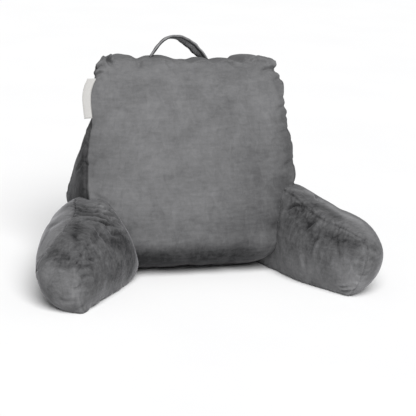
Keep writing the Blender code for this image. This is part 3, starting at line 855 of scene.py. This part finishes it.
armStrokes = {
    1: [
        stroke(0.022, -0.09, (-1, -0.12, 0.85), (-1, 0.10, 0.66), (-1, 0.35, 0.62), (-1, 0.62, 0.60)),
        stroke(0.020, 0.10, (-1, -0.72, -0.05), (-1, -0.50, 0.10), (-1, -0.40, 0.05)),
        stroke(0.017, -0.17, (-1, -0.60, 0.78), (-1, -0.30, 0.70), (-1, -0.06, 0.55), (-1, -0.02, 0.30)),
        stroke(0.017, -0.12, (-1, 0.60, 0.74), (-1, 0.84, 0.66), (-1, 0.97, 0.58)),
        stroke(0.028, -0.08, (-1, -0.45, 0.10), (-1, -0.10, 0.05), (-1, 0.15, -0.05)),
        stroke(0.030, 0.15, (-1, 0.00, -0.45), (-1, 0.40, -0.36), (-1, 0.85, -0.10)),
        stroke(0.020, 0.24, (-1, 0.50, -0.82), (-1, 0.85, -0.66), (-0.9, 1.0, -0.40)),
        stroke(0.018, 0.14, (-0.7, 1.0, -0.62), (-0.3, 1.0, -0.40), (-0.1, 1.0, -0.10)),
        stroke(0.022, 0.06, (-0.2, 1.0, 0.6), (0.0, 1.0, 0.1), (0.0, 1.0, -0.4)),
        stroke(0.017, -0.24, (-0.75, -0.25, 1.0), (-0.55, -0.02, 1.0), (-0.60, 0.20, 1.0)),
        # painted highlight along the far top edge
        stroke(0.017, 0.18, (-0.10, 0.05, 1.0), (-0.25, 0.42, 1.0), (-0.15, 0.75, 1.0),
               (-0.05, 1.0, 0.85)),
        stroke(0.013, 0.14, (-0.65, -0.80, 1.0), (-0.10, -0.66, 1.0), (0.20, -0.50, 1.0)),
        # painted highlight: a light rim along the far top edge
        stroke(0.010, 0.34, (-0.10, -0.55, 1.0), (-0.18, -0.25, 1.0), (-0.28, 0.10, 1.0),
               (-0.30, 0.42, 1.0), (-0.10, 0.75, 1.0)),
        stroke(0.014, -0.09, (-1, -0.48, 0.42), (-1, -0.34, 0.54), (-1, -0.17, 0.86)),
        stroke(0.015, 0.10, (-1, 0.78, -0.58), (-0.93, 1.0, -0.35)),
    ],
    -1: [
        stroke(0.032, -0.17, (-0.45, 0.25, 1.0), (-0.60, 0.55, 1.0), (-0.80, 0.75, 1.0)),
        stroke(0.012, 0.10, (-0.12, 0.20, 1.0), (-0.15, 0.60, 1.0)),
        # painted shade in the pleats at the root
        stroke(0.016, -0.14, (-0.70, -0.38, 1.0), (-1, -0.36, 0.95), (-1, -0.48, 0.78)),
        stroke(0.018, -0.22, (0.45, -0.66, 1.0), (0.15, -0.48, 1.0), (-0.45, -0.40, 1.0)),
        stroke(0.016, -0.12, (-0.75, 0.30, 1.0), (-1, 0.30, 0.90), (-1, 0.10, 0.85)),
        stroke(0.035, -0.12, (-1, -0.10, 0.55), (-1, 0.25, 0.40), (-1, 0.55, 0.50)),
        stroke(0.022, -0.17, (-1, -0.20, 0.45), (-1, -0.42, 0.15), (-1, -0.50, -0.15),
               (-1, -0.30, -0.20)),
        stroke(0.026, -0.10, (-1, -0.30, -0.30), (-1, 0.00, -0.25), (-1, 0.25, -0.30)),
        # painted shade at the root, where the arm meets the backrest
        stroke(0.020, -0.30, (-1, -0.52, 0.38), (-1, -0.72, 0.08), (-1, -0.80, -0.20),
               (-1, -0.55, -0.50)),
        stroke(0.012, 0.12, (-1, 0.16, 0.66), (-1, 0.02, 0.42), (-1, -0.14, 0.24)),
        stroke(0.014, 0.14, (-0.70, 1.0, -0.30), (-0.45, 1.0, -0.48)),
        stroke(0.0034, 0.11, (-0.95, 1.0, 0.80), (-1, 0.98, 0.39), (-1, 1.0, -0.32), (-0.97, 1.0, -0.68)),
        stroke(0.018, -0.11, (-1, 0.72, 0.45), (-1, 0.78, 0.15), (-1, 0.55, -0.10)),
        stroke(0.018, -0.26, (0.10, 1.0, 0.95), (-0.35, 1.0, 0.90), (-0.75, 1.0, 0.93), (-1, 0.97, 0.85)),
        stroke(0.024, 0.13, (0.25, 1.0, 0.50), (-0.20, 1.0, 0.42), (-0.60, 1.0, 0.20),
               (-0.90, 1.0, 0.00)),
        stroke(0.018, 0.12, (-0.9, 1.0, -0.35), (-1, 0.92, -0.45), (-1, 0.78, -0.60)),
        # painted shade in the notch at the far top edge
        stroke(0.008, -0.36, (0.98, 0.02, 1.0), (0.76, 0.10, 1.0), (0.60, 0.16, 1.0)),
        # painted highlight near the root, on the far side of the top
        stroke(0.012, 0.12, (0.30, -0.30, 1.0), (0.55, -0.18, 1.0), (0.80, -0.08, 1.0)),
    ],
}


# Colour beside the left arm's far seam: a light band of painted highlight, a darker rim of painted shade
# beyond it, and each one's start and end in metres across the seam.
farBand = {
    # painted highlight
    "light": 0.18,
    "lightFrom": (0.000, 0.005),
    "lightTo": (0.070, 0.100),
    # painted shade
    "rim": -0.40,
    "rimFrom": (0.050, 0.057),
    "rimTo": (0.066, 0.096),
    "rimAlong": (0.16, 0.21),   # metres along the seam, from the root
    # a little darker just inside the seam
    "beside": -0.05,
    "besideReach": 0.013,
    # painted shade over the outer panel further out
    "beyond": -0.05,
    "beyondFrom": (0.06, 0.08),
}


def farSeamHighlightAndShade(along, across):
    look = farBand
    band = easeIn(across, *look["lightFrom"]) * (1 - easeIn(across, *look["lightTo"]))
    beside = np.exp(-((across + look["besideReach"]) / look["besideReach"]) ** 2)
    rim = easeIn(across, *look["rimFrom"]) * (1 - easeIn(across, *look["rimTo"]))
    rim *= easeIn(along, *look["rimAlong"])
    tone = look["light"] * band + look["beside"] * beside + look["rim"] * rim
    return tone + look["beyond"] * easeIn(across, *look["beyondFrom"])


def dressArm(obj, side):
    mesh = obj.data
    places, points, normals = readPlaces(mesh), readPoints(mesh), readNormals(mesh)
    dice = np.random.default_rng(arm["seed"] + side)
    rise = lowWaves(points, dict(arm["swelling"], seed=7 + side))
    shade = np.zeros(len(points))
    for panel in (-1, 1):
        for name, edge in (("top", (2, 1)), ("end", (1, 1)), ("foot", (2, -1))):
            along, across, mask, length = seamFrame(places, arm["sizes"], (0, panel), edge)
            shift = seamShift.get((side, panel, name))
            if shift:
                across = across + readLine(shift, along)
            faint = arm["footFaint"] if name == "foot" else 1.0
            drawn = seamDrawn.get((side, panel, name), 1.0)
            rise = seamRelief(rise, (along, across, mask, length), dice, arm["seams"], faint, drawn)
            dark = drawn * arm["seamShade"] * np.exp(-(across / arm["seamShadeWidth"]) ** 2)
            shade += np.where(mask, dark, 0.0)
            # painted highlight and painted shade beside the left arm's far seam
            if (side, panel, name) == (-1, 1, "top"):
                shade += np.where(mask, farSeamHighlightAndShade(along, across), 0.0)
    tree = placeTree(places)
    for crease in armFolds[side]:
        rise += foldRise(points, surfacePath(crease["through"], tree, points), crease) * arm["foldDepth"]
    # the strokes, then painted shade in the hollows and painted highlight on the swells of the relief
    shade += pileAndShadeStrokes(points, tree, armStrokes[side]) + arm["reliefShadeAndHighlight"] * rise
    keepPileAndShade(mesh, shade)
    writePoints(mesh, flattenBelow(points + normals * rise[:, None]))


strap = {
    "table": {   # the arch from its left foot to its right one; tilt turns the face, in degrees
        "at": (0.00, 0.19, 0.30, 0.40, 0.50, 0.62, 0.78, 0.92, 1.00),
        "x": (-0.0735, -0.0565, -0.0440, -0.0290, -0.0120, 0.0050, 0.0265, 0.0445, 0.0530),
        "y": (0.186, 0.185, 0.184, 0.184, 0.184, 0.184, 0.184, 0.185, 0.186),
        "z": (0.4300, 0.4575, 0.4725, 0.4800, 0.4795, 0.4720, 0.4555, 0.4370, 0.4240),
        "tilt": (-20.0, -20.0, -18.0, -18.0, -24.0, -36.0, -42.0, -32.0, -26.0),
    },
    "width": 0.027,
    "thick": 0.0060,
    "edgePower": 0.55,      # how square the section's edges are
    "facePower": 0.75,      # and its faces
    "seamIn": 0.0032,       # stitch line, in from each edge
    "seamWidth": 0.0011,
    "seamDepth": 0.42,      # the share of the thickness that the stitches draw in
    "rolls": (0.16, 0.10),  # shares of the thickness, across the strap and along it
    "sways": (0.0007, 0.0005),
    "ribPitch": 0.0085,     # the pile lies in lighter and darker lines along the strap
    "ribShade": 0.50,
    "reachIn": 0.3,         # the share of the arch within which each end leaves the backrest
    "along": 96,
    "around": 40,
}


def strapFrame(s):
    # the middle line, the way across the strap and the way out of its face
    def spot(share):
        row = readTable(strap["table"], np.clip(share, 0, 1))
        return np.stack([row[key] for key in "xyz"], -1)
    step = 0.006
    along = unit(spot(s + step) - spot(s - step))
    rear = np.zeros_like(along)
    rear[..., 1] = 1.0
    rear = unit(rear - along * (rear * along).sum(-1, keepdims=True))
    tilt = np.radians(readTable(strap["table"], s)["tilt"])[..., None]
    wide = rear * np.cos(tilt) + np.cross(along, rear) * np.sin(tilt)
    return spot(s) - boxMiddle, wide, np.cross(wide, along)


def rounded(turn, power):
    return np.sign(turn) * np.abs(turn) ** power


def strapAcross(angle):
    return rounded(np.cos(angle), strap["edgePower"]) * strap["width"] / 2


def strapPoint(s, angle):
    # s runs along the arch; angle goes round its section
    middle, wide, outer = strapFrame(s)
    flat = strapAcross(angle)
    full = rounded(np.sin(angle), strap["facePower"]) * strap["thick"] / 2
    groove = np.exp(-((strap["width"] / 2 - np.abs(flat) - strap["seamIn"]) / strap["seamWidth"]) ** 2)
    # the doubled cloth rolls a little, and sways from side to side
    (rolls, slowRolls), (sways, quickSways) = strap["rolls"], strap["sways"]
    waves = 0.5 * np.sin(flat * 900 + 5 * np.sin(7 * s) + 2.0) + 0.5 * np.sin(flat * 520 - 9 * s)
    bulge = 1 + rolls * waves - strap["seamDepth"] * groove + slowRolls * np.sin(s * 46 + flat * 150)
    sway = sways * np.sin(s * 31 + 1.0) + quickSways * np.sin(s * 57)
    return middle + wide * (flat + sway)[:, None] + outer * (full * bulge)[:, None]


def tubeFaces(rings, around):
    faces = []
    for ring in range(rings - 1):
        for k in range(around):
            after = (k + 1) % around
            faces.append((ring * around + k, ring * around + after,
                          (ring + 1) * around + after, (ring + 1) * around + k))
    faces.append(tuple(range(around)))
    faces.append(tuple((rings - 1) * around + k for k in reversed(range(around))))
    return faces


def strapExits(tree, angles, shares, spots):
    # for each line along the strap, the share at which it leaves the backrest at one end
    outside = [clearance(tree, strapPoint(np.full(len(angles), spot), angles)) for spot in spots]
    return lastExits(shares, np.stack(outside))


def makeStrap(tree):
    around, rings = strap["around"], strap["along"]
    angles = (np.arange(around) + 0.5) / around * 2 * math.pi
    shares = np.linspace(0.0, strap["reachIn"], 31)
    low = strapExits(tree, angles, shares, shares)
    high = strapExits(tree, angles, shares, 1 - shares)
    points = [strapPoint(mix(low, 1 - high, share), angles) for share in np.linspace(0, 1, rings)]
    mesh = bpy.data.meshes.new("strap_velour")
    mesh.from_pydata(np.concatenate(points).tolist(), [], tubeFaces(rings, around))
    turnFacesOut(mesh)
    mesh.shade_smooth()
    ribs = np.cos(strapAcross(angles) * 2 * math.pi / strap["ribPitch"] + 3.0)
    sway = np.sin(np.linspace(0, 9, rings))
    keepPileAndShade(mesh, strap["ribShade"] * (ribs[None, :] * (1 + 0.4 * sway[:, None])).ravel())
    return addObject("strap_velour", mesh)


stitch = {
    "pitch": 0.0042,
    "length": 0.0030,
    "width": 0.0009,
    "clear": 0.0012,        # the rows end this far above the backrest
    "points": 160,          # along each row, before the stitches are spaced
}


def stitchTree(material):
    # a row of small threads along each line of the mesh it is put on
    group = bpy.data.node_groups.new("stitchRows", "GeometryNodeTree")
    for name, way, kind in (("Geometry", "INPUT", "Geometry"), ("Pitch", "INPUT", "Float"),
                            ("Size", "INPUT", "Vector"), ("Geometry", "OUTPUT", "Geometry")):
        group.interface.new_socket(name, in_out=way, socket_type="NodeSocket" + kind)
    add, link = group.nodes.new, group.links.new
    entry, leave = add("NodeGroupInput"), add("NodeGroupOutput")
    lines = add("GeometryNodeMeshToCurve")
    even = add("GeometryNodeResampleCurve")
    even.mode = "LENGTH"
    thread = add("GeometryNodeMeshUVSphere")
    for key, value in (("Segments", 8), ("Rings", 6), ("Radius", 0.5)):
        thread.inputs[key].default_value = value
    tangent = add("GeometryNodeInputTangent")
    turn = add("FunctionNodeAlignRotationToVector")
    turn.axis = "Z"
    lay = add("GeometryNodeInstanceOnPoints")
    real = add("GeometryNodeRealizeInstances")
    smooth = add("GeometryNodeSetShadeSmooth")
    paint = add("GeometryNodeSetMaterial")
    paint.inputs["Material"].default_value = material
    link(entry.outputs["Pitch"], even.inputs["Length"])
    link(entry.outputs["Size"], lay.inputs["Scale"])
    link(thread.outputs["Mesh"], lay.inputs["Instance"])
    link(tangent.outputs["Tangent"], turn.inputs["Vector"])
    link(turn.outputs["Rotation"], lay.inputs["Rotation"])
    chain = (entry, lines, even, lay, real, smooth, paint, leave)
    for before, after in zip(chain, chain[1:]):
        link(before.outputs[0], after.inputs[0])
    return group


def makeStitches(tree, material):
    flat = strap["width"] / 2
    reach = math.acos(((flat - strap["seamIn"]) / flat) ** (1 / strap["edgePower"]))
    points, edges = [], []
    for angle in (reach, math.pi - reach, -reach, reach - math.pi):
        shares = np.linspace(0.02, 0.98, stitch["points"])
        line = strapPoint(shares, np.full(len(shares), angle))
        line = line[clearance(tree, line) > stitch["clear"]]
        edges += [(len(points) + k, len(points) + k + 1) for k in range(len(line) - 1)]
        points += line.tolist()
    mesh = bpy.data.meshes.new("strap_stitches")
    mesh.from_pydata(points, edges, [])
    rows = addObject("strap_stitches", mesh)
    sew = rows.modifiers.new("sew", "NODES")
    sew.node_group = stitchTree(material)
    sockets = [item for item in sew.node_group.interface.items_tree if item.in_out == "INPUT"]
    names = {item.name: item.identifier for item in sockets}
    sew[names["Pitch"]] = stitch["pitch"]
    sew[names["Size"]] = (stitch["width"], stitch["width"], stitch["length"])
    applyModifiers(rows)
    return rows


label = {
    "low": 0.324,
    "high": 0.402,
    "reach": 0.0150,
    "root": 0.004,          # how deep it is caught in the seam
    "bow": 0.0022,          # how far its middle bends forward
    "ripple": 0.0012,       # and its free edge, unevenly
    "slant": 0.004,         # how far forward the fold stands of the seam
    "curl": 0.0005,         # how far the fold's line wavers up and down
    "layer": 0.0007,        # thickness of the tape
    "apart": 0.0013,        # between the middles of its two layers
    "cells": (26, 30),
}


def labelPoint(s, t):
    # s runs up the tape, t from one root over the fold to the other
    height = mix(label["low"], label["high"], s)
    levels = np.linspace(0, 1, 200)
    level = np.interp(height, readTable(backrest["table"], levels)["z"], levels)
    seam = backrestPoint(np.stack([np.full_like(s, -1.0), np.full_like(s, -1.0), 2 * level - 1], -1))
    inFold = 1 - np.abs(2 * t - 1)
    out = mix(-label["root"], label["reach"], np.sin(inFold * math.pi / 2) ** 0.8)
    side = np.sign(t - 0.5) * label["apart"] / 2 * np.minimum(1.0, (1 - inFold) * 9) ** 0.5
    bow = label["bow"] * inFold * (1 - (2 * s - 1) ** 2) + label["ripple"] * inFold * np.sin(5 * s + 0.6)
    curl = label["curl"] * inFold ** 2 * np.sin(9 * s)
    y = seam[:, 1] + side - bow - label["slant"] * inFold
    return np.stack([seam[:, 0] - out, y, height + curl], -1)


def makeLabel(tree):
    cellsS, cellsT = label["cells"]
    s, t = np.meshgrid(np.linspace(0, 1, cellsS + 1), np.linspace(0, 1, cellsT + 1), indexing="ij")
    number = np.arange(s.size).reshape(s.shape)
    corners = [number[:-1, :-1], number[1:, :-1], number[1:, 1:], number[:-1, 1:]]
    faces = np.stack(corners, -1).reshape(-1, 4)
    mesh = bpy.data.meshes.new("side_tape")
    mesh.from_pydata(labelPoint(s.ravel(), t.ravel()).tolist(), [], faces.tolist())
    mesh.shade_smooth()
    tape = addObject("side_tape", mesh)
    wall = tape.modifiers.new("wall", "SOLIDIFY")
    wall.thickness = label["layer"]
    wall.offset = 0.0
    applyModifiers(tape)
    pushClear(tape, tree, np.arange(len(tape.data.vertices)))
    turnFacesOut(tape.data)
    return tape


class Wire:
    # a shader socket that adds Math nodes when it is used in an expression
    def __init__(self, bench, socket):
        self.bench = bench
        self.socket = socket

    def join(self, operation, first, second):
        return self.bench.node("ShaderNodeMath", {"operation": operation}, {0: first, 1: second})

    def __add__(self, other):
        return self.join("ADD", self, other)

    def __sub__(self, other):
        return self.join("SUBTRACT", self, other)

    def __mul__(self, other):
        return self.join("MULTIPLY", self, other)


class Bench:
    # one material and the nodes on it
    def __init__(self, name):
        self.material = bpy.data.materials.new(name)
        self.material.use_nodes = True
        self.tree = self.material.node_tree
        self.tree.nodes.clear()

    def node(self, kind, settings=None, inputs=None, output=0):
        made = self.tree.nodes.new(kind)
        for key, value in (settings or {}).items():
            setattr(made, key, value)
        for key, value in (inputs or {}).items():
            if isinstance(value, Wire):
                self.tree.links.new(value.socket, made.inputs[key])
            else:
                made.inputs[key].default_value = value
        return Wire(self, made.outputs[output]) if made.outputs else None

    def place(self):
        return self.node("ShaderNodeTexCoord", output="Object")

    def stretched(self, place, scale):
        return self.node("ShaderNodeMapping", {}, {"Vector": place, "Scale": scale})

    def noise(self, place, scale, detail=2.0, roughness=0.5, distortion=0.0):
        inputs = {"Vector": place, "Scale": scale, "Detail": detail,
                  "Roughness": roughness, "Distortion": distortion}
        return self.node("ShaderNodeTexNoise", {}, inputs)

    def blend(self, factor, first, second):
        inputs = {0: factor, 6: first, 7: second}
        return self.node("ShaderNodeMix", {"data_type": "RGBA"}, inputs, output=2)

    def bump(self, height, strength, distance, **below):
        # raised by distance where height is 1; below is another bump that it lies on
        inputs = {"Height": height, "Strength": strength, "Distance": distance, **below}
        return self.node("ShaderNodeBump", {}, inputs)

    def attribute(self, name):
        return self.node("ShaderNodeAttribute", {"attribute_name": name}, {}, output="Fac")

    def finish(self, inputs):
        shader = self.node("ShaderNodeBsdfPrincipled", {}, inputs)
        self.node("ShaderNodeOutputMaterial", {}, {"Surface": shader})
        return self.material


# Brushed velour, by piece: level is the colour's share from the dark to the light end, to which each
# point adds pile with painted shade and painted highlight; sheen is the shine at a slant, the rest how
# much each pattern adds.
velourDark = (0.020, 0.020, 0.021, 1.0)
velourLight = (0.235, 0.235, 0.240, 1.0)
velours = {
    "panelVelour": dict(level=0.497, sheen=0.14, clouds=0.34, brush=0.28, fine=0.22, hair=0.14,
                        speckle=0.18),
    "armVelour": dict(level=0.38, sheen=0.42, clouds=0.60, brush=0.50, fine=0.26, hair=0.34,
                      speckle=0.20),
    "strapVelour": dict(level=0.48, sheen=0.30, clouds=0.40, brush=0.50, fine=0.30, hair=0.30,
                        speckle=0.20),
}
# The patterns: patches, strokes of a hand, thin lines both ways and tufts. Each has its stretch, or
# none, then its noise's scale, detail, roughness and distortion.
napPatterns = {
    "clouds": (None, 13.0, 3.0, 0.55, 0.8),
    "brush": ((70.0, 70.0, 26.0), 1.0, 3.0, 0.6, 1.1),
    "fine": ((36.0, 36.0, 150.0), 1.0, 2.0, 0.5, 0.3),
    "hair": ((90.0, 210.0, 170.0), 1.0, 2.0, 0.6, 0.6),
    "speckle": (None, 620.0, 2.0, 0.6, 0.0),
}


def velourMaterial(name):
    look = velours[name]
    bench = Bench(name)
    place = bench.place()
    patterns = {}
    for key, (stretch, *grain) in napPatterns.items():
        patterns[key] = bench.noise(bench.stretched(place, stretch) if stretch else place, *grain)
    pileAndShade = bench.attribute("pileAndShade") + look["level"]
    for key, pattern in patterns.items():
        pileAndShade = pileAndShade + (pattern - 0.5) * look[key]
    pile = bench.noise(place, 900.0, 2.0, 0.7)
    tufts = bench.noise(place, 230.0, 2.0, 0.6)
    waves = patterns["clouds"] * 0.5 + patterns["brush"] * 0.5
    lumps = bench.bump(waves, strength=0.30, distance=0.004)
    felt = bench.bump(pile * 0.6 + tufts * 0.4, strength=0.35, distance=0.0012, Normal=lumps)
    return bench.finish({
        "Base Color": bench.blend(pileAndShade, velourDark, velourLight),
        "Roughness": 0.95,
        "Specular IOR Level": 0.15,
        "Sheen Weight": look["sheen"],
        "Sheen Roughness": 0.30,
        "Sheen Tint": (0.75, 0.75, 0.78, 1.0),
        "Normal": felt,
    })


def threadMaterial():
    bench = Bench("strapThread")
    twist = bench.noise(bench.stretched(bench.place(), (900.0, 900.0, 1600.0)), 1.0, 2.0)
    colour = bench.blend(twist, (0.070, 0.070, 0.072, 1.0), (0.160, 0.160, 0.164, 1.0))
    return bench.finish({
        "Base Color": colour,
        "Roughness": 0.6,
        "Normal": bench.bump(twist, strength=0.4, distance=0.0003),
    })


def tapeMaterial():
    bench = Bench("wovenTape")
    place = bench.place()
    ribs = bench.node("ShaderNodeTexWave", {"wave_type": "BANDS", "bands_direction": "Z"},
                      {"Vector": place, "Scale": 420.0, "Distortion": 0.4, "Detail": 1.0})
    threads = bench.noise(bench.stretched(place, (900.0, 900.0, 300.0)), 1.0, 2.0)
    colour = bench.blend(ribs * 0.35 + threads * 0.5, (0.36, 0.355, 0.345, 1.0), (0.62, 0.61, 0.595, 1.0))
    return bench.finish({
        "Base Color": colour,
        "Roughness": 0.75,
        "Specular IOR Level": 0.3,
        "Normal": bench.bump(ribs * 0.7 + threads * 0.3, strength=0.4, distance=0.0004),
    })


def dressWith(obj, material, slot, *nodes):
    obj.data.materials.clear()
    obj.data.materials.append(material)
    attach(obj, "root")
    if nodes:
        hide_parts(*nodes)


studio = {
    "target": (0.038, 0.060, 0.134),
    "azimuth": -17.0,
    "elevation": 16.0,
    "roll": 3.0,
    "distance": 3.2,
    "lens": 129.8,
    "world": 0.24,
    "sun": 3.8,
    "sunSpread": 45.0,
    "sunFrom": (-0.05, -0.90, 1.0),
    "floorSize": 40.0,
}


def floorMaterial():
    bench = Bench("paleFloor")
    grain = bench.noise(bench.place(), 3.0, 3.0)
    colour = bench.blend(grain, (0.87, 0.87, 0.875, 1.0), (0.91, 0.91, 0.91, 1.0))
    return bench.finish({"Base Color": colour, "Roughness": 0.9, "Specular IOR Level": 0.1})


def makeFloor():
    form = bmesh.new()
    bmesh.ops.create_grid(form, x_segments=2, y_segments=2, size=studio["floorSize"])
    mesh = bpy.data.meshes.new("floor")
    form.to_mesh(mesh)
    form.free()
    mesh.materials.append(floorMaterial())
    floor = addObject("floor", mesh)


def makeLights():
    world = bpy.data.worlds.new("paleRoom")
    bpy.context.scene.world = world
    world.use_nodes = True
    sky = world.node_tree.nodes["Background"]
    sky.inputs["Color"].default_value = (1.0, 1.0, 1.0, 1.0)
    sky.inputs["Strength"].default_value = studio["world"]
    data = bpy.data.lights.new("softSun", "SUN")
    data.energy = studio["sun"]
    data.angle = math.radians(studio["sunSpread"])
    lamp = addObject("softSun", data)
    lamp.rotation_euler = (-Vector(studio["sunFrom"])).to_track_quat("-Z", "Y").to_euler()


def makeCamera():
    azimuth = math.radians(studio["azimuth"])
    elevation = math.radians(studio["elevation"])
    back = Vector((math.sin(azimuth) * math.cos(elevation),
                   -math.cos(azimuth) * math.cos(elevation), math.sin(elevation)))
    data = bpy.data.cameras.new("photoCamera")
    data.lens = studio["lens"]
    data.sensor_width = 36.0
    data.clip_end = 50.0
    camera = addObject("photoCamera", data)
    camera.location = Vector(studio["target"]) - Vector(boxMiddle) + back * studio["distance"]
    level = (-back).to_track_quat("-Z", "Y")
    camera.rotation_mode = "QUATERNION"
    camera.rotation_quaternion = level @ Quaternion((0.0, 0.0, 1.0), math.radians(studio["roll"]))
    bpy.context.scene.camera = camera


makeCamera()
makeFloor()
makeLights()
back = makeBackrest()
print("backrest form made,", len(back.data.vertices), "points")
tree = surfaceTree(back)
right, left = makeArm("arm_right_velour", 1, tree), makeArm("arm_left_velour", -1, tree)
holdSeams(back, backrest["sizes"], 1)
holdSeams(right, arm["sizes"], 0)
holdSeams(left, arm["sizes"], 0)
fillPieces((back, right, left), ("backrest", "arms", "arms"))
for piece in (back, right, left):
    subdivide(piece)
dressBackrest(back)
tree = surfaceTree(back)
for piece, side in ((right, 1), (left, -1)):
    dressArm(piece, side)
    pushClear(piece, tree, np.flatnonzero(readPlaces(piece.data)[:, 1] < arm["rootEnd"]))
print("gathers and folds made")

panelCloth = velourMaterial("panelVelour")
armCloth = velourMaterial("armVelour")
dressWith(back, panelCloth, "velour_panel", "backrest")
dressWith(right, armCloth, "velour_arm", "arm_right")
dressWith(left, armCloth, "velour_arm", "arm_left")

carry = makeStrap(tree)
dressWith(carry, velourMaterial("strapVelour"), "velour_strap", "carry_handle")
thread = threadMaterial()
dressWith(makeStitches(tree, thread), thread, "velour_strap")
print("strap and stitches made")

tape = makeLabel(tree)
dressWith(tape, tapeMaterial(), "woven_tape", "side_label")
print("side tape made")
bpy.context.scene.view_settings.view_transform = "Standard"
